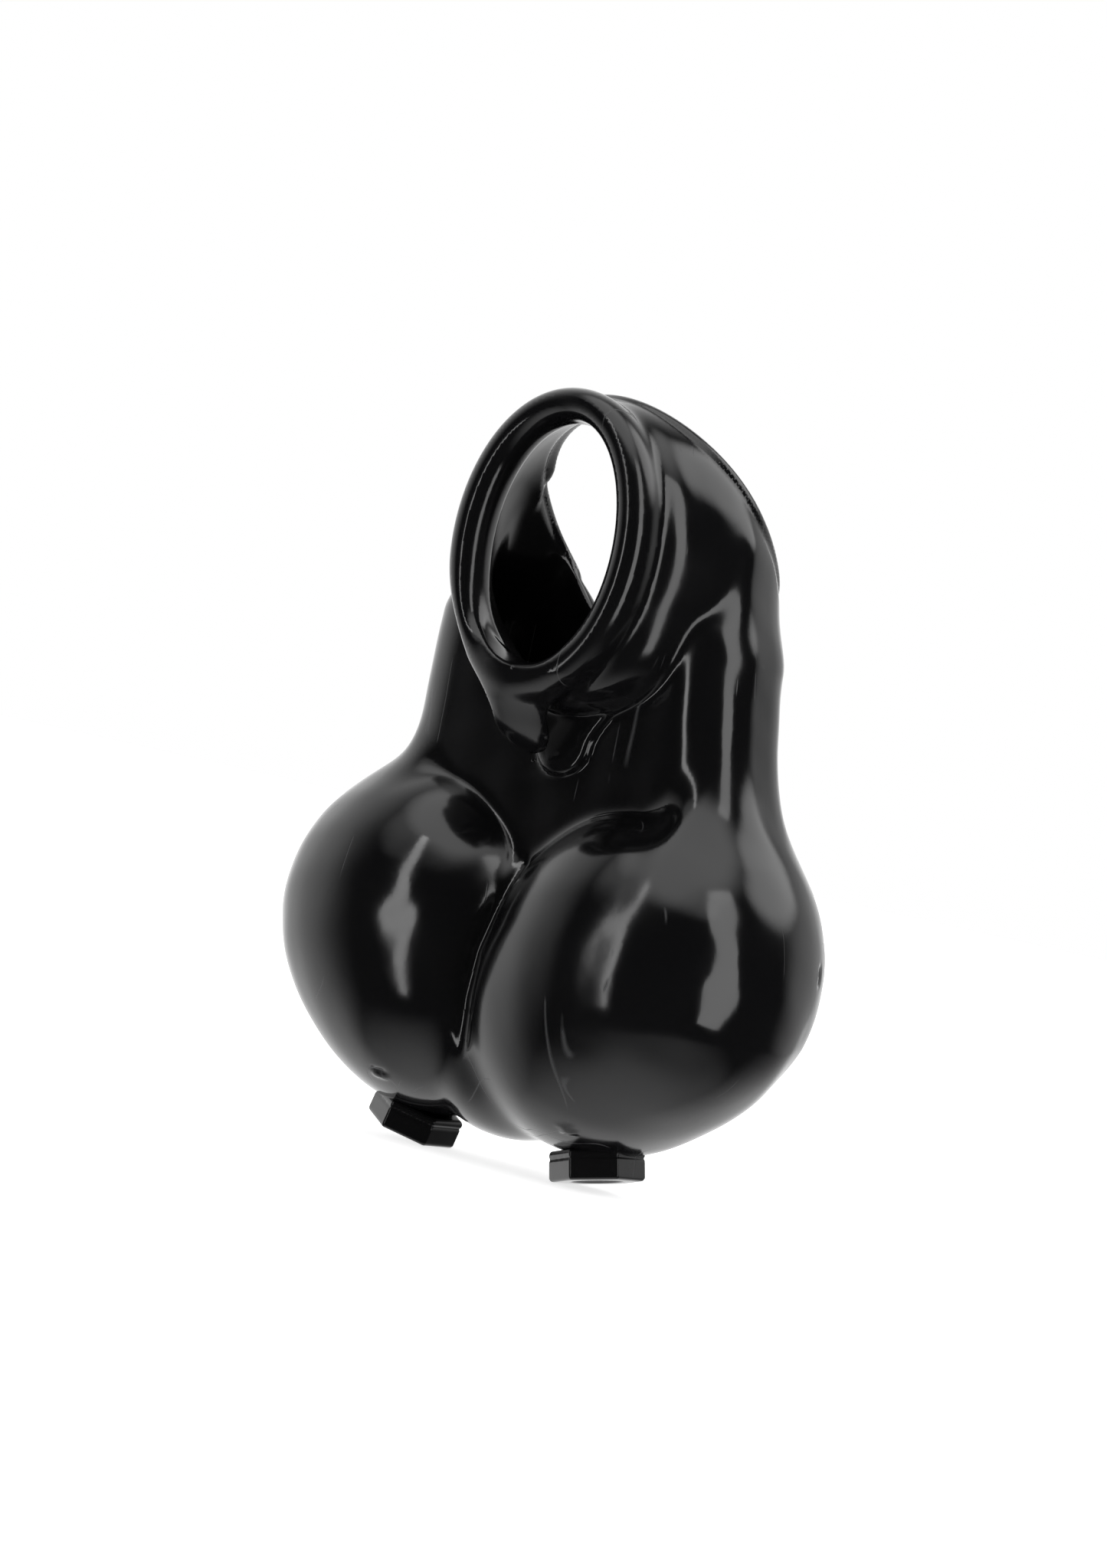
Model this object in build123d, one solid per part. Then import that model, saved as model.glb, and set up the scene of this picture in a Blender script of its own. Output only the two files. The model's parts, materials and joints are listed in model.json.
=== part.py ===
from build123d import *
import os

os.makedirs("parts", exist_ok=True)

# A soft moulded ring sleeve: an oval front ring on a short hood, an open sloping back,
# a flat neck and a pouch of two round lobes, with a hex-headed plug under each lobe.
# Millimetres, +Z up. The ring faces -Y, and X = 0 is the plane of symmetry.
# The origin is at the middle of the bounding box's underside.

# Walls
WALL = 2.6

# Pouch: round balls, as (distance from the middle, height, radius). The lobe's upper and
# lower ball are on both sides, and the belly's ball joins them below.
POUCH_Y = 2.0
LOBE = (19.5, 32.3, 23.4)
LOBE_FOOT = (14.0, 25.4, 21.0)
BELLY = (0, 19.3, 15.5)

# Neck: a rounded flat tube that narrows from the pouch up into the hood, as
# (height, half width) at its foot, at its shoulder and at its crown inside the hood
NECK_FOOT = (38.0, 30.0)
NECK_SHOULDER = (76.0, 26.6)
NECK_CROWN = (88.0, 20.5)
NECK_HALF_DEPTH = 10.5
NECK_Y = 3.0
NECK_CORNER_R = 8.5

# Hood: an oval funnel along Y, from the ring to the widest section, then narrowing to the back
RING_Y = -16.1
RING_Z = 88.1
FUNNEL_HALF_WIDTH = 15.8
FUNNEL_HALF_HEIGHT = 21.0
WAIST_Y = -7.0
HOOD_HALF_WIDTH = 22.6
HOOD_HALF_HEIGHT = 23.7
HOOD_BACK_HALF_WIDTH = 19.6
HOOD_BACK_Y = NECK_Y + NECK_HALF_DEPTH

# Front ring: an oval hole with a thick rounded rim
HOLE_HALF_WIDTH = 11.4
HOLE_HALF_HEIGHT = 17.0
RIM_HALF_WIDTH = 17.0
RIM_HALF_HEIGHT = 21.8
RIM_DEPTH = 8.0
RIM_ROUND = 2.1

# Drip-shaped tongue that hangs from the ring over the neck
TONGUE_TOP = (-16.6, 68.6)
TONGUE_TIP = (-11.9, 61.7)
TONGUE_R = 2.9
TONGUE_ROOT_Y = -5.5

# Back opening: a sloping cut, given by two points (Y, Z) on it, and an oval hole below the cut
BACK_TOP = (-11.2, 111.9)
BACK_BOTTOM = (18.3, 80.4)
BACK_HOLE_Z = 95.0
BACK_HOLE_HALF_WIDTH = 18.0
BACK_HOLE_HALF_HEIGHT = 17.5
LIP_RAISE = 0.5
LIP_WIDTH = 2.6
CUTTER_SIZE = 120

# Hex plugs: each one's seat is on the lobe's skin, where its axis leaves the lobe
PLUG_X = 16.0
PLUG_Z = 5.8
PLUG_SPLAY = 15.0
PLUG_ACROSS_FLATS = 11.8
PLUG_HEAD = 4.4
HEAD_CHAMFER = 0.5
PLUG_GAP = 0.1
SHANK_R = 3.0
SHANK_LENGTH = 6.0
SHANK_CLEARANCE = 0.08
PAD_R = 6.4
PAD_THICK = 4.2


def ball(side, place, inset):
    """One of the pouch's balls, on side -1 or 1."""
    x, z, radius = place
    return Pos(side * x, POUCH_Y, z) * Sphere(radius - inset)


def oval(y, half_width, half_height, z=RING_Z):
    """An upright oval face at depth y, facing forwards."""
    return Plane((0, y, z), x_dir=(1, 0, 0), z_dir=(0, -1, 0)) * Ellipse(half_width, half_height)


def pouch(inset):
    """The pouch's outer form, or its hollow when it is inset."""
    form = ball(1, BELLY, inset)
    for side in (-1, 1):
        form += ball(side, LOBE, inset) + ball(side, LOBE_FOOT, inset)
    return form


def neck_section(z, half_width, inset):
    section = RectangleRounded(
        2 * (half_width - inset), 2 * (NECK_HALF_DEPTH - inset), NECK_CORNER_R - inset
    )
    return Pos(0, NECK_Y, z) * section


def neck(inset):
    sections = [neck_section(*place, inset) for place in (NECK_FOOT, NECK_SHOULDER, NECK_CROWN)]
    return loft(sections, ruled=True)


def hood(inset):
    """The funnel and the narrowing stretch behind it."""
    sections = [
        oval(RING_Y, FUNNEL_HALF_WIDTH - inset, FUNNEL_HALF_HEIGHT - inset),
        oval(WAIST_Y, HOOD_HALF_WIDTH - inset, HOOD_HALF_HEIGHT - inset),
        oval(HOOD_BACK_Y - inset, HOOD_BACK_HALF_WIDTH - inset, HOOD_HALF_HEIGHT - inset),
    ]
    return loft(sections, ruled=True)


def rim():
    """The thick rounded rim of the front hole."""
    rear = RING_Y + RIM_DEPTH / 2
    section = oval(rear, RIM_HALF_WIDTH, RIM_HALF_HEIGHT) - oval(rear, HOLE_HALF_WIDTH, HOLE_HALF_HEIGHT)
    band = extrude(section, RIM_DEPTH)
    return fillet(band.edges(), RIM_ROUND)


def tongue():
    """A blunt drip that leans back, and the web that joins it to the hood and the neck."""
    top = Vector(0, *TONGUE_TOP)
    tip = Vector(0, *TONGUE_TIP)
    run = Plane(origin=top, z_dir=tip - top) * Cylinder(
        TONGUE_R, (tip - top).length, align=(Align.CENTER, Align.CENTER, Align.MIN)
    )
    side = make_face(Plane.YZ * Polyline(
        TONGUE_TOP, TONGUE_TIP, (TONGUE_ROOT_Y, TONGUE_TIP[1]), (TONGUE_ROOT_Y, TONGUE_TOP[1]), close=True
    ))
    web = extrude(side, TONGUE_R, both=True)
    return run + Pos(top) * Sphere(TONGUE_R) + Pos(tip) * Sphere(TONGUE_R) + web


def slope_frame():
    """The sloping cut's frame, with +Z up and back out of the hood."""
    top = Vector(0, *BACK_TOP)
    slope = Vector(0, *BACK_BOTTOM) - top
    return Plane(origin=top, x_dir=(1, 0, 0), z_dir=Vector(1, 0, 0).cross(slope))


def behind_back():
    """Everything above and behind the sloping cut."""
    above = (Align.CENTER, Align.CENTER, Align.MIN)
    return slope_frame() * Box(CUTTER_SIZE, CUTTER_SIZE, CUTTER_SIZE, align=above)


def lip():
    """The raised edge of the hood along the sloping cut."""
    below = (Align.CENTER, Align.CENTER, Align.MAX)
    return hood(-LIP_RAISE) & (slope_frame() * Box(CUTTER_SIZE, CUTTER_SIZE, LIP_WIDTH, align=below))


def back_hole():
    """The oval hole through the back wall, below the sloping cut."""
    face = oval(HOOD_BACK_Y + 1, BACK_HOLE_HALF_WIDTH, BACK_HOLE_HALF_HEIGHT, BACK_HOLE_Z)
    return extrude(face, HOOD_BACK_Y + 1 - NECK_Y)


def plug_frame(side):
    """The plug's seat: +Z points out of the lobe, down and away from the middle."""
    return Pos(side * PLUG_X, POUCH_Y, PLUG_Z) * Rot(0, 180 - side * PLUG_SPLAY, 0)


def plug(side):
    """A hex head outside the lobe and a plain shank through its wall."""
    head = Pos(0, 0, PLUG_GAP) * extrude(
        RegularPolygon(PLUG_ACROSS_FLATS / 2, 6, major_radius=False, rotation=30), PLUG_HEAD
    )
    head = chamfer(head.faces().sort_by(Axis.Z)[-1].edges(), HEAD_CHAMFER)
    shank = Cylinder(SHANK_R, SHANK_LENGTH + 1, align=(Align.CENTER, Align.CENTER, Align.MAX))
    return plug_frame(side) * (head + Pos(0, 0, 1) * shank)


def sleeve():
    """The hollow moulding, with a flat pad and a bore through it where each plug seats."""
    body = pouch(0) + neck(0) + hood(0) + lip()
    body -= pouch(WALL) + neck(WALL) + hood(WALL)
    body = body + rim() + tongue() - behind_back() - back_hole()
    pad = Cylinder(PAD_R, PAD_THICK, align=(Align.CENTER, Align.CENTER, Align.MAX))
    below = Cylinder(PAD_R + 1, PLUG_HEAD, align=(Align.CENTER, Align.CENTER, Align.MIN))
    bore = Cylinder(SHANK_R + SHANK_CLEARANCE, 4 * PAD_THICK)
    for side in (-1, 1):
        body = body + plug_frame(side) * pad - plug_frame(side) * (below + bore)
    return body


pieces = {"sleeve": sleeve(), "hex_plug_left": plug(-1), "hex_plug_right": plug(1)}
box = Compound(list(pieces.values())).bounding_box()
to_origin = Pos(-(box.min.X + box.max.X) / 2, -(box.min.Y + box.max.Y) / 2, -box.min.Z)
for name, piece in pieces.items():
    placed = to_origin * piece
    export_step(placed, f"parts/{name}.step")
    print(name, "solids", len(placed.solids()), "volume", round(placed.volume))
print("box", box.size, "moved by", to_origin.position)
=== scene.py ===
import json
import math

import bpy
import numpy as np
from mathutils import Matrix, Vector


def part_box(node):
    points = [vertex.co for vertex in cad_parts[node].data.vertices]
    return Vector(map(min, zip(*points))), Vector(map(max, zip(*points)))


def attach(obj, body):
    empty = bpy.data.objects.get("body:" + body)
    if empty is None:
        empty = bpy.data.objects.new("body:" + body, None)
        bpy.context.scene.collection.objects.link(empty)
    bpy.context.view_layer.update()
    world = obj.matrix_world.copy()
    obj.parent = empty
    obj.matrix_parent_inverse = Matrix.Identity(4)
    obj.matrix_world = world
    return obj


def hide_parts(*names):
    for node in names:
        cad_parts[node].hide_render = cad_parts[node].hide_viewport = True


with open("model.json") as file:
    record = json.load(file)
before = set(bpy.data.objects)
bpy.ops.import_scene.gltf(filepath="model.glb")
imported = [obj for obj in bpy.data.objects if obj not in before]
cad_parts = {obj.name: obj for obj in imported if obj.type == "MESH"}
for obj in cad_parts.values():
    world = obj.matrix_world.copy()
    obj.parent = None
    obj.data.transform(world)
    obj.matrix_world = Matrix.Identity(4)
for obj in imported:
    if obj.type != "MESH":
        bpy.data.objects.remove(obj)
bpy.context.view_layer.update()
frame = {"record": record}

# The sleeve's form is worked out in millimetres from the pouch's centre line at the frame's
# floor: X across the lobes, Y back from the ring, Z up. Places come from the CAD's boxes.
MM = 0.001
SLEEVE_LOW, SLEEVE_HIGH = (np.array(corner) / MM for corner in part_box("sleeve"))
CELL = 0.5
WALL = 2.6

# The pouch: on each side a lobe on a lower foot, and in the middle the belly and the saddle
LOBE_R = 23.2
POUCH_Y = SLEEVE_HIGH[1] - LOBE_R - 0.2
BASE_Z = SLEEVE_LOW[2] - 0.4
LOBE_X = SLEEVE_HIGH[0] - LOBE_R - 0.1
LOBE_Z = BASE_Z + 29.0
FOOT_X = 14.0
FOOT_SHIFT = 0.6
FOOT_Z = BASE_Z + 22.2
FOOT_R = 21.0
BELLY_R = 15.4
BELLY_Z = BASE_Z + 0.6 + BELLY_R
SADDLE_R = 12.3
SADDLE_Z = LOBE_Z + 4.2
FOOT_BLEND = 6.0
BELLY_BLEND = 3.0
SADDLE_BLEND = 2.0

# The ring and the hood behind it. RIM_LINE is the ring's middle line, and RIM_HALF its section's
# half width at the sides and at the top. The hood's lower part leans and sags over the heights
# HOOD_LOW, which are from the ring's middle, and HOOD_EVEN brings its field near to millimetres.
RING_Y = SLEEVE_LOW[1] + 5.3
RING_Z = BASE_Z + 84.8
FUNNEL_HALF = (17.2, 20.8)
RIM_LINE = (13.9, 19.7)
RIM_HALF = (2.7, 2.3)
RIM_DEPTH = 3.4
RIM_AHEAD = 0.6
RIM_THINNING = 0.3
RIM_BLEND = 3.6
WAIST_Y = RING_Y + 12.5
HOOD_HALF = (22.5, 23.2)
HOOD_BACK_REACH = 32.0
HOOD_LEAN = 2.2
HOOD_SAG = 0.04
HOOD_LOW = (-6, -20)
HOOD_EASE = 0.6
HOOD_EVEN = 0.85
HOOD_BACK_ROUND = 4.0
HOOD_FRONT_ROUND = 5.0

NECK_Y = POUCH_Y + 1.0
NECK_HALF_DEPTH = 10.4
NECK_CORNER = 8.5
# The neck as (height, half width) at three heights, how far its foot and its shoulder lean
# across, and how far it runs down into the pouch
NECK_FOOT = (BASE_Z + 46.0, 29.7)
NECK_SHOULDER = (BASE_Z + 73.0, 27.2)
NECK_CROWN = (BASE_Z + 87.0, 20.5)
NECK_LEAN = (1.6, -0.8)
NECK_ROOT = 14.0
NECK_TOP_ROUND = 9.0

# How wide the neck blends into the pouch, and how much more on the left and on the right, as
# (width, distance from the middle where it sets in, and where it is full)
NECK_BLEND = 1.8
NECK_BLEND_LEFT = (9.0, 15, 26)
NECK_BLEND_RIGHT = (13.0, 18, 28)

# How wide the hood blends into the neck at its front and back, and how much more at its sides
HOOD_BLEND = (1.2, 5.2)
HOOD_BLEND_SIDE = (4.0, 17, 24)

# The plugs: the hex head stands on the lobe's skin at 0, and the shank goes back into the lobe
HEX_HALF = 5.9
HEX_ROUND = 0.55
HEAD_LOW = 0.1
HEAD_HIGH = 4.5
SHANK_R = 3.0
SHANK_LENGTH = 6.0
SHANK_BLEND = 0.3

# The dish in the head's end, and the groove round the head just above its seat
DISH_HALF = 3.2
DISH_R = 0.45
DISH_EDGE = 0.4
LINE_UP = 1.2
LINE_DEEP = 0.12
LINE_HALF = 0.18

# Camera: azimuth and roll in degrees, the sensor in millimetres, and the rest in metres
CAMERA_AZIMUTH = 36.0
CAMERA_ROLL = 12.0
CAMERA_DISTANCE = 0.6
PICTURE_HEIGHT = 0.2252
SENSOR = 36.0
AIM_Z = 0.0551
AIM_LEFT = 0.0038

# Stage: half the floor's side and where the lights aim, in metres, and the dark room's strength
FLOOR_HALF = 3.0
LIGHT_AIM = (0, 0, 0.055)
DARK = 0.012

# The back opening: a sloping cut, as two points (depth, height) on it, and an oval hole below
BACK_TOP = (RING_Y + 4.3, RING_Z + 23.8)
BACK_BOTTOM = (RING_Y + 33.8, RING_Z - 7.7)
BACK_HOLE_Z = RING_Z + 6.9
BACK_HOLE_HALF = (18.0, 17.5)
BACK_EDGE = 1.6
BACK_HOLE_EDGE = 1.2

# The lip along the sloping cut
LIP_R = 1.3
LIP_INSET = 0.9
LIP_BLEND = 1.8

# The drip under the ring, as (its face's depth behind the ring, height from its middle, half
# width) at its root and its tip, and how flat it is
TONGUE = [(-4.8, -18.0, 6.8), (0.0, -25.6, 3.9)]
TONGUE_X = -0.4
TONGUE_FLAT = 2.6
TONGUE_TURN = 0.3
TONGUE_BLEND = 2.5

# The second drip, as (height from the ring's middle, half width) at its top and tip. Its
# thickness falls below the neck's skin at its sides.
APRON = [(-10.0, 21.0), (-27.0, 4.7)]
APRON_X = 2.6
APRON_THICK = 1.2
APRON_SUNK = -1.5
APRON_EDGE = 1.8
APRON_BLEND = 0.6

WAVES = 9
WAVE_HEIGHT = 0.012
WAVE_LENGTH = (6.0, 13.0)

# Moulding nubs low on the lobes and a nick: two ends, radius and depth, where a nub's is negative
MARKS = [
    ((-15.1, -13.2, 9.3), (-13.6, -13.3, 9.1), 0.55, -0.42),
    ((-15.1, -13.8, 10.2), (-13.6, -13.9, 10.0), 0.5, 0.25),
    ((17.2, -11.9, 9.1), (19.0, -11.0, 8.3), 0.45, -0.36),
    ((18.0, -12.2, 9.9), (18.4, -11.0, 7.7), 0.45, -0.36),
    ((17.4, -11.2, 7.9), (18.9, -11.9, 9.3), 0.4, -0.3),
    ((41.0, 8.1, 37.2), (41.1, 8.0, 35.9), 0.6, 0.45),
    ((41.2, 6.9, 36.4), (41.2, 6.9, 36.0), 0.4, -0.25),
]

# The fold between the lobes, as (X, height above the base, radius) down its length
FOLD = [(0.9, 40.0, 0.7), (0.7, 34.0, 1.2), (0.5, 27.0, 1.3), (0.4, 20.0, 1.1), (0.2, 13.0, 0.5)]
FOLD_SINK = 0.3
FOLD_EDGE = 2.4

# Dents in the lobes, each a soft hollow along a line: side, (azimuth, elevation) at its two
# ends in degrees, radius and depth. Negative depths are low ridges.
DENTS = [
    (1, (16, 24), (17, 16), 4.0, 0.20),
    (1, (12, 6), (9, -26), 3.0, 0.16),
    (1, (50, 20), (60, 14), 2.4, -0.12),
    (1, (50, 4), (60, -2), 2.6, 0.12),
    (1, (40, -24), (60, -26), 3.2, 0.14),
    (-1, (11, 18), (25, 13), 2.4, -0.08),
    (-1, (12, 6), (24, 2), 2.4, 0.07),
    (-1, (20, -2), (24, -40), 3.0, 0.14),
    (-1, (34, 4), (40, -30), 3.0, -0.16),
    (-1, (52, 20), (54, -14), 3.6, 0.22),
    (1, (150, 10), (160, -14), 5.0, 0.40),
    (-1, (-150, 22), (-165, -6), 4.5, 0.38),
    (-1, (-70, 8), (-84, -20), 4.0, 0.30),
    (1, (110, -12), (118, -30), 3.6, 0.28),
    (1, (106, 38), (142, 24), 9.0, -0.7),
]


def mix(a, b, t):
    return a + (b - a) * t


def ramp(start, end, value):
    t = np.clip((value - start) / (end - start), 0, 1)
    return t * t * (3 - 2 * t)


def more(rise, value):
    """How much a rise, as (height, start, full), adds at a value."""
    return rise[0] * ramp(rise[1], rise[2], value)


def join(a, b, k):
    """The union of two fields, blended over a band k wide."""
    h = np.maximum(k - np.abs(a - b), 0) / k
    return np.minimum(a, b) - h ** 3 * k / 6


def cut(a, b, k):
    """Field a with field b taken away, with the edge rounded over k."""
    return -join(-a, b, k)


def ball(p, centre, radius):
    return np.sqrt(sum((v - c) ** 2 for v, c in zip(p, centre))) - radius


def oval(x, z, half):
    """How far a point is outside an ellipse, near enough for the mesher."""
    k0 = np.hypot(x / half[0], z / half[1])
    k1 = np.hypot(x / half[0] ** 2, z / half[1] ** 2)
    return k0 * (k0 - 1) / np.maximum(k1, 1e-9)


def drip(p, start, end, radii):
    """A tapered round run from start to end."""
    start, end = np.array(start), np.array(end)
    run = end - start
    t = sum((v - s) * r for v, s, r in zip(p, start, run)) / (run @ run)
    t = np.clip(t, 0, 1)
    axis = [s + t * r for s, r in zip(start, run)]
    return np.sqrt(sum((v - a) ** 2 for v, a in zip(p, axis))) - mix(*radii, t)


def pouch(p):
    """Two round lobes on rounder feet, with the belly and a saddle that join them."""
    x, y, z = p
    side = (np.abs(x), y, z)
    settled = (np.abs(x + FOOT_SHIFT), y, z)
    lobe = ball(side, (LOBE_X, POUCH_Y, LOBE_Z), LOBE_R)
    foot = ball(settled, (FOOT_X, POUCH_Y, FOOT_Z), FOOT_R)
    belly = ball(p, (0, POUCH_Y, BELLY_Z), BELLY_R)
    saddle = ball(p, (0, POUCH_Y, SADDLE_Z), SADDLE_R)
    half = join(lobe, foot, FOOT_BLEND)
    return join(join(half, belly, BELLY_BLEND), saddle, SADDLE_BLEND)


def neck(p):
    """A flat tube whose shoulders lean a little to the left, as the soft wall settles."""
    x, y, z = p
    foot_z, foot_half = NECK_FOOT
    shoulder_z, shoulder_half = NECK_SHOULDER
    crown_z, crown_half = NECK_CROWN
    lean = mix(*NECK_LEAN, ramp(foot_z, shoulder_z + 4, z)) * ramp(crown_z, shoulder_z, z)
    rise = np.clip((z - foot_z) / (shoulder_z - foot_z), 0, 1)
    half = mix(mix(foot_half, shoulder_half, rise), crown_half, ramp(shoulder_z, crown_z, z))
    out_x = np.abs(x - lean) - (half - NECK_CORNER)
    out_y = np.abs(y - NECK_Y) - (NECK_HALF_DEPTH - NECK_CORNER)
    corner = np.hypot(np.maximum(out_x, 0), np.maximum(out_y, 0))
    wall = corner + np.minimum(np.maximum(out_x, out_y), 0) - NECK_CORNER
    wall = np.maximum(wall, foot_z - NECK_ROOT - z)
    return cut(wall, crown_z + 2 - z, NECK_TOP_ROUND)


def hood(p, front):
    """The funnel behind the ring, from depth front to the neck's back."""
    x, y, z = p
    t = np.maximum((y - RING_Y) / (WAIST_Y - RING_Y), 0)
    t = join(t, np.ones_like(t), HOOD_EASE)
    narrow = np.sqrt(1 - (np.clip(y - WAIST_Y, 0, 24) / HOOD_BACK_REACH) ** 2)
    half = [mix(FUNNEL_HALF[0], HOOD_HALF[0], t) * narrow, mix(FUNNEL_HALF[1], HOOD_HALF[1], t)]
    low = ramp(*HOOD_LOW, z - RING_Z)
    funnel = oval(x - HOOD_LEAN * low, (z - RING_Z) * (1 - HOOD_SAG * low), half) * HOOD_EVEN
    rounded = cut(funnel, NECK_Y + NECK_HALF_DEPTH - y, HOOD_BACK_ROUND)
    return cut(rounded, y - front, HOOD_FRONT_ROUND)


def form(p, front):
    """The whole outer form without its ring, from depth front backwards."""
    x, y, z = p
    low_blend = NECK_BLEND + more(NECK_BLEND_LEFT, -x) + more(NECK_BLEND_RIGHT, x)
    rear = ramp(NECK_Y - 9, NECK_Y - 3, y)
    high_blend = mix(*HOOD_BLEND, rear) + rear * more(HOOD_BLEND_SIDE, np.abs(x))
    return join(join(pouch(p), neck(p), low_blend), hood(p, front), high_blend)


def above_back(p):
    """Below zero above and behind the sloping back opening."""
    (y0, z0), (y1, z1) = BACK_TOP, BACK_BOTTOM
    run = math.hypot(y1 - y0, z1 - z0)
    return -((p[1] - y0) * (z0 - z1) + (p[2] - z0) * (y1 - y0)) / run


def back_hole(p):
    """Below zero inside the oval hole through the back wall."""
    return np.maximum(oval(p[0], p[2] - BACK_HOLE_Z, BACK_HOLE_HALF), NECK_Y - p[1])


def rim(p):
    """The thick round ring, thinner at its lower left."""
    x, y, z = p
    across = oval(x, z - RING_Z, RIM_LINE)
    wide = (x / RIM_LINE[0]) ** 2
    share = wide / np.maximum(wide + ((z - RING_Z) / RIM_LINE[1]) ** 2, 1e-9)
    thin = 1 - RIM_THINNING * ramp(-4, -16, z - RING_Z) * ramp(0, -7, x)
    half = mix(RIM_HALF[1], RIM_HALF[0], share) * thin
    return oval(across, y - RING_Y + RIM_AHEAD, (half, RIM_DEPTH))


def front_skin(x, z):
    """The depth of the form's front at a place on the pouch."""
    low, high = SLEEVE_LOW[1] - 1, POUCH_Y
    for _ in range(24):
        middle = (low + high) / 2
        if form((x, middle, z), RING_Y) > 0:
            low = middle
        else:
            high = middle
    return low


FOLD_LINE = [
    (np.array([x, front_skin(x, BASE_Z + up) - FOLD_SINK, BASE_Z + up]), r) for x, up, r in FOLD
]


def fold(p):
    """Below zero inside the groove between the lobes."""
    deep = 1e3
    for (a, ra), (b, rb) in zip(FOLD_LINE, FOLD_LINE[1:]):
        deep = np.minimum(deep, drip(p, a, b, (ra, rb)))
    return deep


def lip(p):
    """The raised edge round the sloping back opening."""
    return np.hypot(hood(p, RING_Y) + LIP_INSET, above_back(p) + LIP_R) - LIP_R


def on_lobe(side, azimuth, elevation):
    """A point on a lobe's skin: azimuth 0 faces the front and 90 faces outwards to the right."""
    a, e = math.radians(azimuth), math.radians(elevation)
    reach = np.array([math.sin(a) * math.cos(e), -math.cos(a) * math.cos(e), math.sin(e)])
    return np.array([side * LOBE_X, POUCH_Y, LOBE_Z]) + LOBE_R * reach


def dents(p):
    """How much the handled lobes are pressed in."""
    total = 0.0
    for side, start, end, radius, depth in DENTS:
        near = drip(p, on_lobe(side, *start), on_lobe(side, *end), (0, 0))
        total = total + depth * np.exp(-(near / radius) ** 2)
    return total


def tongue(p):
    """The drip under the ring: wide at its root, with hollow sides and a blunt tip."""
    x, y, z = p
    x = x - TONGUE_X
    (y0, z0, r0), (y1, z1, r1) = TONGUE
    fall = np.maximum((RING_Z + z0 - z) / (z0 - z1), 0)
    beyond = np.maximum(np.maximum(z - RING_Z - z0, RING_Z + z1 - z), 0)
    half = mix(r1, r0, (1 - np.minimum(fall, 1)) ** 2)
    turned = y - TONGUE_TURN * x * np.minimum(fall * 1.5, 1)
    deep = (turned - RING_Y - mix(y0, y1, fall ** 1.3)) * TONGUE_FLAT - half
    return (np.sqrt(x ** 2 + deep ** 2 + beyond ** 2) - half) / TONGUE_FLAT


def apron(p):
    """A thin second drip on the neck behind the tongue, running on from the hood's lower edge."""
    x, y, z = p
    (z0, r0), (z1, r1) = APRON
    t = np.clip((RING_Z + z0 - z) / (z0 - z1), 0, 1)
    below = np.maximum(RING_Z + z1 - z, 0)
    outline = np.hypot(x - APRON_X, below) - mix(r1, r0, (1 - t) ** 1.5)
    outline = np.maximum(outline, np.maximum(z - RING_Z - z0, y - NECK_Y + 3))
    thick = mix(APRON_THICK, APRON_SUNK, ramp(13, 19, np.abs(x)))
    return cut(outline, thick - neck(p), APRON_EDGE)


def marks(p):
    """Two small moulding nubs and a nick, as field offsets."""
    total = 0.0
    for start, end, radius, depth in MARKS:
        total = total + depth * np.exp(-(drip(p, start, end, (0, 0)) / radius) ** 2)
    return total


def waves(p):
    """Faint waviness of a soft moulded skin."""
    rng = np.random.default_rng(5)
    total = 0.0
    for _ in range(WAVES):
        way = rng.normal(size=3)
        way = way / np.linalg.norm(way) * 2 * math.pi / rng.uniform(*WAVE_LENGTH)
        total = total + np.sin(sum(v * w for v, w in zip(p, way)) + rng.uniform(0, 2 * math.pi))
    return total * WAVE_HEIGHT


def sleeve_field(p):
    """The hollow sleeve, with its wall, drips, back opening and ring."""
    outside = cut(form(p, RING_Y + 1.5) + dents(p) + marks(p) + waves(p), fold(p), FOLD_EDGE)
    outside = join(join(outside, apron(p), APRON_BLEND), tongue(p), TONGUE_BLEND)
    # The hollow runs on forwards through the ring
    wall = cut(outside, form(p, RING_Y - 20) + WALL, 1.0)
    wall = join(cut(wall, above_back(p), BACK_EDGE), lip(p), LIP_BLEND)
    # The two back cuts blend only low down, which keeps the hood's top edge plain
    blend = 0.5 + 4.5 * ramp(RING_Z + 14, RING_Z + 9, p[2])
    wall = cut(wall, join(above_back(p) + 2 * LIP_R + 0.2, back_hole(p), blend), BACK_HOLE_EDGE)
    return join(wall, rim(p), RIM_BLEND)


def gradient(field, points, step=0.02):
    """The field's slope at an (n, 3) array of points."""
    slope = np.empty_like(points)
    for axis in range(3):
        ahead, behind = points.copy(), points.copy()
        ahead[:, axis] += step
        behind[:, axis] -= step
        slope[:, axis] = (field(ahead.T) - field(behind.T)) / (2 * step)
    return slope


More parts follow.
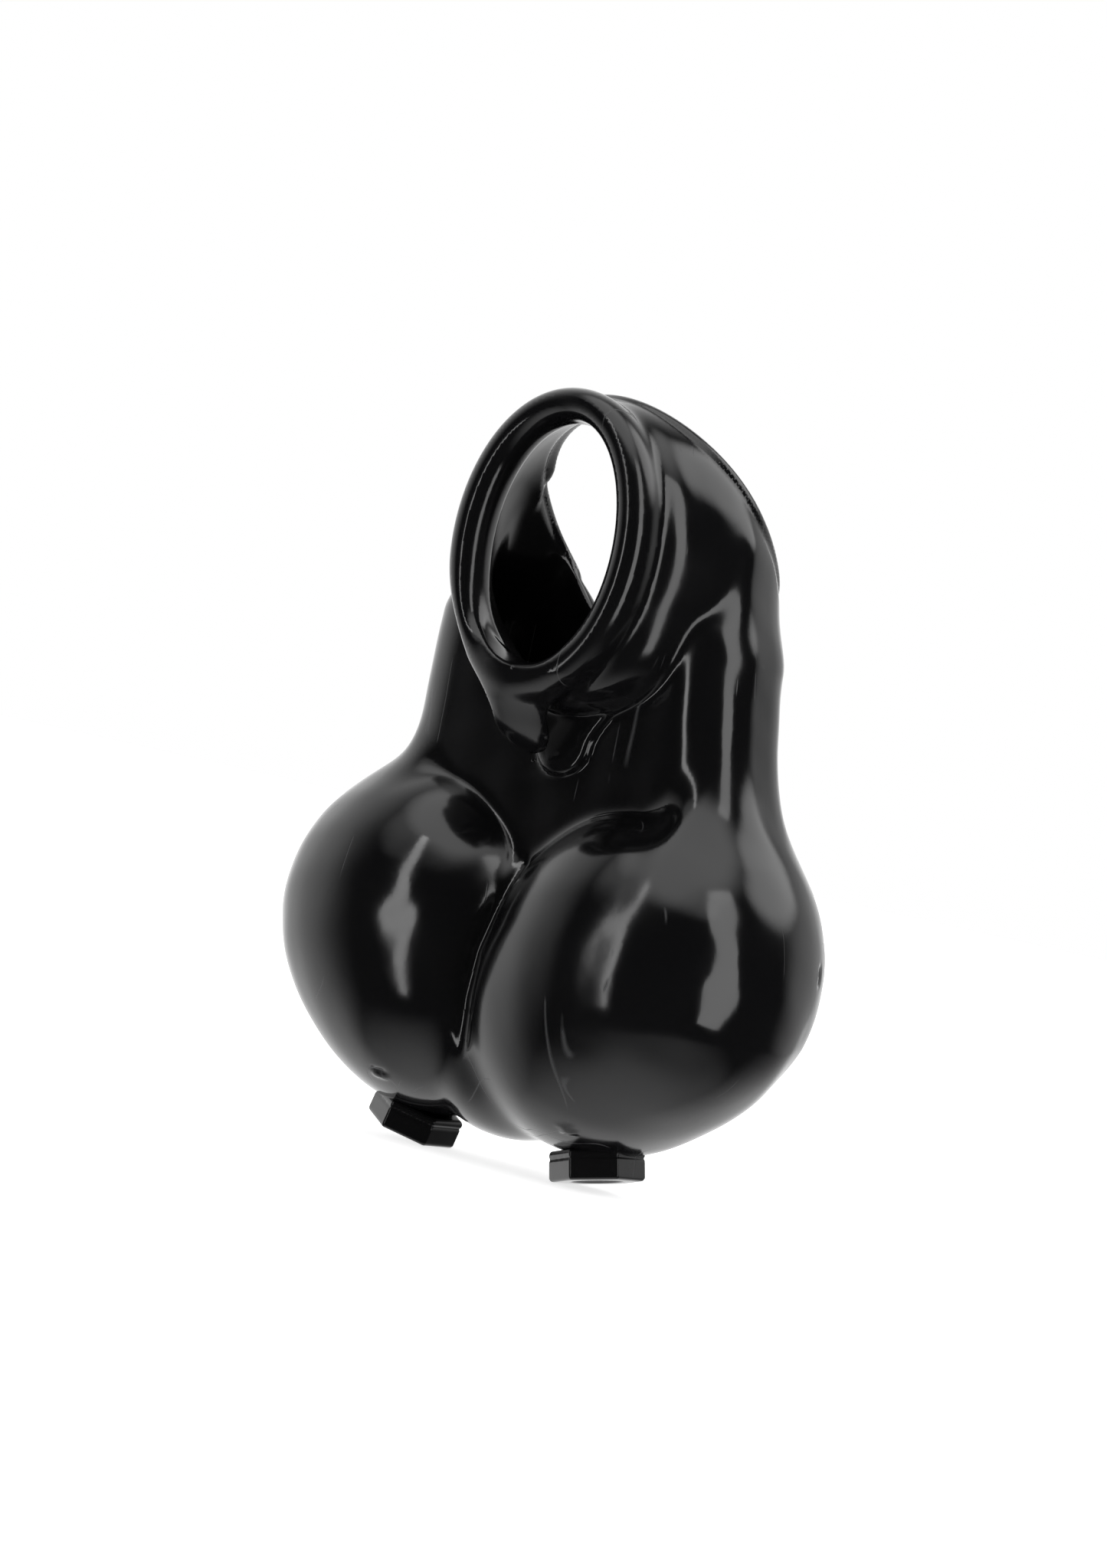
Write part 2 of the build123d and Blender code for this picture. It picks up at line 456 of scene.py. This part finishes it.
def skin(name, field, low, high, cell):
    """A mesh object on the field's zero surface, as one quad across each crossing."""
    axes = [np.arange(a - 2 * cell, b + 2 * cell, cell) for a, b in zip(low, high)]
    grid = np.meshgrid(*axes, indexing="ij", sparse=True)
    inside = field(grid) < 0
    corners = np.zeros([n - 1 for n in inside.shape], np.int8)
    for i in (0, 1):
        for j in (0, 1):
            for k in (0, 1):
                n = inside.shape
                corners += inside[i:n[0] - 1 + i, j:n[1] - 1 + j, k:n[2] - 1 + k]
    mixed = (corners > 0) & (corners < 8)
    index = np.full(mixed.shape, -1)
    index[mixed] = np.arange(mixed.sum())
    start = np.array([a[0] for a in axes])
    points = (np.argwhere(mixed) + 0.5) * cell + start
    quads = []
    for axis in range(3):
        u, v = [a for a in range(3) if a != axis]
        first = np.moveaxis(inside, (axis, u, v), (0, 1, 2))
        change = first[1:, 1:-1, 1:-1] != first[:-1, 1:-1, 1:-1]
        cells = np.moveaxis(index, (axis, u, v), (0, 1, 2))
        a, b, c = np.nonzero(change)
        ring = [cells[a, b + s, c + t] for s, t in ((0, 0), (1, 0), (1, 1), (0, 1))]
        face = np.stack(ring, 1)
        flip = first[a, b + 1, c + 1] ^ (axis == 1)
        face[~flip] = face[~flip][:, ::-1]
        quads.append(face)
    quads = np.concatenate(quads)
    for _ in range(6):
        slope = gradient(field, points)
        size = np.maximum((slope ** 2).sum(1), 0.05)
        step = (field(points.T) / size)[:, None] * slope
        points -= np.clip(step, -cell / 2, cell / 2)
    mesh = bpy.data.meshes.new(name)
    mesh.from_pydata((points * MM).tolist(), [], quads.tolist())
    mesh.validate()
    for polygon in mesh.polygons:
        polygon.use_smooth = True
    made = bpy.data.objects.new(name, mesh)
    bpy.context.collection.objects.link(made)
    return made


class Nodes:
    """Adds nodes to a tree and links them by name."""

    def __init__(self, tree):
        self.tree = tree

    def add(self, kind, values=None, **settings):
        node = self.tree.nodes.new(kind)
        for key, value in settings.items():
            setattr(node, key, value)
        for key, value in (values or {}).items():
            socket = node.inputs[key]
            if hasattr(value, "is_output"):
                self.tree.links.new(value, socket)
            else:
                socket.default_value = value
        return node

    def math(self, operation, a, b=0.0, clamp=False):
        node = self.add("ShaderNodeMath", {0: a, 1: b}, operation=operation, use_clamp=clamp)
        return node.outputs[0]

    def spread(self, value, low, high, to_low, to_high, soft=False):
        names = ("Value", "From Min", "From Max", "To Min", "To Max")
        node = self.add(
            "ShaderNodeMapRange", dict(zip(names, (value, low, high, to_low, to_high))),
            interpolation_type="SMOOTHSTEP" if soft else "LINEAR",
        )
        return node.outputs["Result"]

    def noise(self, where, scale, detail=2.0):
        node = self.add("ShaderNodeTexNoise", {"Vector": where, "Scale": scale, "Detail": detail})
        return node.outputs["Fac"]


def scratches(n, where, turn, scale):
    """Sparse hairlines: 1 on a line and 0 elsewhere."""
    turned = n.add("ShaderNodeMapping", {"Vector": where, "Rotation": turn, "Scale": (1, 1, 0.04)})
    bent = n.add("ShaderNodeTexNoise", {"Vector": turned.outputs[0], "Scale": scale, "Detail": 1.0})
    line = n.math("ABSOLUTE", n.math("SUBTRACT", bent.outputs["Fac"], 0.5))
    thin = n.spread(line, 0.0, 0.0035, 1.0, 0.0)
    patch = n.spread(n.noise(where, 90.0), 0.56, 0.62, 0.0, 1.0)
    return n.math("MULTIPLY", thin, patch)


def gloss_black(name, tint, roughness):
    """Glossy black elastomer: faint flow marks, handling haze, hairlines and specks."""
    material = bpy.data.materials.new(name)
    material.use_nodes = True
    n = Nodes(material.node_tree)
    shader = material.node_tree.nodes["Principled BSDF"]
    where = n.add("ShaderNodeTexCoord").outputs["Object"]
    haze = n.noise(where, 70.0, 4.0)
    grain = n.noise(where, 1500.0, 2.0)
    flow = n.noise(where, 160.0, 2.0)
    lines = n.math("MAXIMUM", scratches(n, where, (0.3, 0.5, 0.2), 60.0),
                   scratches(n, where, (1.2, 0.1, 0.9), 45.0))
    specks = n.add("ShaderNodeTexVoronoi", {"Vector": where, "Scale": 420.0})
    speck = n.spread(specks.outputs["Distance"], 0.05, 0.09, 1.0, 0.0)
    rare = n.spread(n.noise(where, 260.0), 0.66, 0.70, 0.0, 1.0)
    dust = n.math("MULTIPLY", speck, rare)
    marks = n.math("MAXIMUM", lines, dust)
    rough = n.math("ADD", n.spread(haze, 0.35, 0.75, roughness - 0.04, roughness + 0.07),
                   n.math("MULTIPLY", marks, 0.25), clamp=True)
    worn = {0: n.math("MULTIPLY", marks, 0.5), 6: (*tint, 1), 7: (0.05, 0.05, 0.052, 1)}
    colour = n.add("ShaderNodeMix", worn, data_type="RGBA")
    height = n.math("ADD", n.math("MULTIPLY", flow, 0.5), n.math("MULTIPLY", grain, 0.03))
    height = n.math("SUBTRACT", height, n.math("MULTIPLY", marks, 0.12))
    bump = n.add("ShaderNodeBump", {"Height": height, "Distance": 0.0001, "Strength": 0.6})
    n.tree.links.new(colour.outputs[2], shader.inputs["Base Color"])
    n.tree.links.new(rough, shader.inputs["Roughness"])
    n.tree.links.new(bump.outputs[0], shader.inputs["Normal"])
    shader.inputs["IOR"].default_value = 1.5
    return material


def make_sleeve(black):
    made = skin("sleeve_skin", sleeve_field, SLEEVE_LOW, SLEEVE_HIGH, CELL)
    made.data.materials.append(black)
    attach(made, "sleeve")
    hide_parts("sleeve")


def plug_field(p):
    """A hex head with rounded edges, a groove round it and a dished end, and the shank behind it."""
    x, y, z = p
    flats = [np.abs(x * math.cos(t) + y * math.sin(t)) for t in (0, math.pi / 3, -math.pi / 3)]
    sides = np.maximum(np.maximum(flats[0], flats[1]), flats[2]) - HEX_HALF
    middle = (HEAD_LOW + HEAD_HIGH) / 2
    ends = np.abs(z - middle) - (HEAD_HIGH - HEAD_LOW) / 2
    out_x, out_z = sides + HEX_ROUND, ends + HEX_ROUND
    head = np.hypot(np.maximum(out_x, 0), np.maximum(out_z, 0)) - HEX_ROUND
    head = head + np.minimum(np.maximum(out_x, out_z), 0)
    across = np.hypot(x, y)
    dish = np.hypot(np.maximum(across - DISH_HALF, 0), z - HEAD_HIGH - 0.1) - DISH_R
    head = cut(head, dish, DISH_EDGE)
    line = LINE_DEEP * np.exp(-((z - HEAD_LOW - LINE_UP) / LINE_HALF) ** 2)
    shank = np.maximum(across - SHANK_R, np.maximum(-SHANK_LENGTH - z, z - 1))
    return join(head + line, shank, SHANK_BLEND)


def make_plug(side, black):
    """Placed by its end face in the record, with +Z out along the plug's axis."""
    mount = next(m for m in frame["record"]["mounts"] if m["name"] == "plug_end_" + side)
    reach = HEX_HALF / math.cos(math.pi / 6) + 0.3
    low, high = (-reach, -reach, -SHANK_LENGTH), (reach, reach, HEAD_HIGH)
    made = skin("plug_" + side, plug_field, low, high, CELL / 2)
    axis = Vector(mount["axis"]).normalized()
    across = Vector((0, 1, 0)).cross(axis)
    turn = Matrix((across, (0, 1, 0), axis)).transposed()
    seat = Vector(mount["pos_m"]) - axis * HEAD_HIGH * MM
    made.data.transform(Matrix.Translation(seat) @ turn.to_4x4())
    made.data.materials.append(black)
    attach(made, "plug_" + side)
    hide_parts("hex_plug_" + side)


def make_floor():
    corners = [(x * FLOOR_HALF, y * FLOOR_HALF, 0) for x, y in ((-1, -1), (1, -1), (1, 1), (-1, 1))]
    mesh = bpy.data.meshes.new("floor")
    mesh.from_pydata(corners, [], [(0, 1, 2, 3)])
    made = bpy.data.objects.new("floor", mesh)
    bpy.context.collection.objects.link(made)
    material = bpy.data.materials.new("floor_paper")
    material.use_nodes = True
    n = Nodes(material.node_tree)
    shader = material.node_tree.nodes["Principled BSDF"]
    where = n.add("ShaderNodeTexCoord").outputs["Object"]
    shade = n.spread(n.noise(where, 400.0, 3.0), 0.3, 0.7, 0.86, 0.9)
    grey = n.add("ShaderNodeCombineColor", {0: shade, 1: shade, 2: shade})
    n.tree.links.new(grey.outputs[0], shader.inputs["Base Color"])
    shader.inputs["Roughness"].default_value = 0.9
    shader.inputs["Emission Color"].default_value = (1, 1, 1, 1)
    shader.inputs["Emission Strength"].default_value = 0.75
    made.data.materials.append(material)
    made.visible_glossy = False


def make_light(name, azimuth, elevation, distance, size, radiance):
    """A soft rectangular light facing the part, as seen round from the camera's side."""
    reach = toward(azimuth, elevation)
    data = bpy.data.lights.new(name, "AREA")
    data.shape = "RECTANGLE"
    data.size, data.size_y = size
    data.energy = radiance * math.pi * size[0] * size[1]
    made = bpy.data.objects.new(name, data)
    made.location = Vector(LIGHT_AIM) + reach * distance
    made.rotation_euler = reach.to_track_quat("Z", "Y").to_euler()
    made.visible_camera = False
    bpy.context.collection.objects.link(made)


def toward(azimuth, elevation):
    """A direction from the part, as seen round from the camera's side."""
    a, e = math.radians(CAMERA_AZIMUTH + azimuth), math.radians(elevation)
    return Vector((math.sin(a) * math.cos(e), -math.cos(a) * math.cos(e), math.sin(e)))


def make_world():
    """White to a camera ray. What the part reflects is soft glows on a near-black room."""
    world = bpy.data.worlds.new("studio")
    world.use_nodes = True
    bpy.context.scene.world = world
    n = Nodes(world.node_tree)
    background = world.node_tree.nodes["Background"]
    where = n.add("ShaderNodeTexCoord").outputs["Generated"]

    def glow(azimuth, elevation, start, full, strength):
        sides = {0: where, 1: toward(azimuth, elevation)}
        near = n.add("ShaderNodeVectorMath", sides, operation="DOT_PRODUCT")
        return n.spread(near.outputs["Value"], start, full, 0.0, strength, True)

    glows = [
        glow(208, 0, 0.10, 0.80, 1.15),
        glow(130, 8, 0.80, 0.98, 0.75),
        glow(0, 80, 0.76, 0.93, 1.8),
        glow(108, 44, 0.91, 0.975, 2.4),
        glow(0, -90, 0.60, 1.06, 1.0),
        glow(180, -45, 0.45, 0.98, 1.1),
        glow(-60, 62, 0.90, 0.985, 0.8),
    ]
    light = DARK
    for each in glows:
        light = n.math("MAXIMUM", each, light)
    seen = n.add("ShaderNodeLightPath").outputs["Is Camera Ray"]
    both = n.add("ShaderNodeMix", {0: seen, 2: light, 3: 1.0}, data_type="FLOAT")
    n.tree.links.new(both.outputs[0], background.inputs["Strength"])
    background.inputs["Color"].default_value = (1, 1, 1, 1)


def make_camera():
    """Level camera off the ring's right, rolled so that the object leans in the picture."""
    yaw, roll = math.radians(CAMERA_AZIMUTH), math.radians(CAMERA_ROLL)
    right = Vector((math.cos(yaw), math.sin(yaw), 0))
    aim = Vector((0, POUCH_Y * MM, AIM_Z)) - right * AIM_LEFT
    place = aim + Vector((math.sin(yaw), -math.cos(yaw), 0)) * CAMERA_DISTANCE
    data = bpy.data.cameras.new("camera")
    data.sensor_fit = "VERTICAL"
    data.sensor_height = SENSOR
    data.lens = SENSOR * CAMERA_DISTANCE / PICTURE_HEIGHT
    made = bpy.data.objects.new("camera", data)
    bpy.context.collection.objects.link(made)
    level = Matrix((right, (0, 0, 1), (place - aim).normalized())).transposed()
    made.matrix_world = Matrix.Translation(place) @ level.to_4x4() @ Matrix.Rotation(roll, 4, "Z")
    bpy.context.scene.camera = made


make_sleeve(gloss_black("elastomer_gloss", (0.003, 0.003, 0.0033), 0.13))
plug_black = gloss_black("plug_gloss", (0.004, 0.004, 0.0043), 0.17)
for side in ("left", "right"):
    make_plug(side, plug_black)
make_floor()
make_world()
make_light("left_strip", -38, 12, 0.5, (0.055, 0.9), 4.6)
make_light("right_strip", 44, 12, 0.5, (0.17, 0.8), 3.0)
make_camera()
bpy.context.scene.view_settings.view_transform = "Standard"
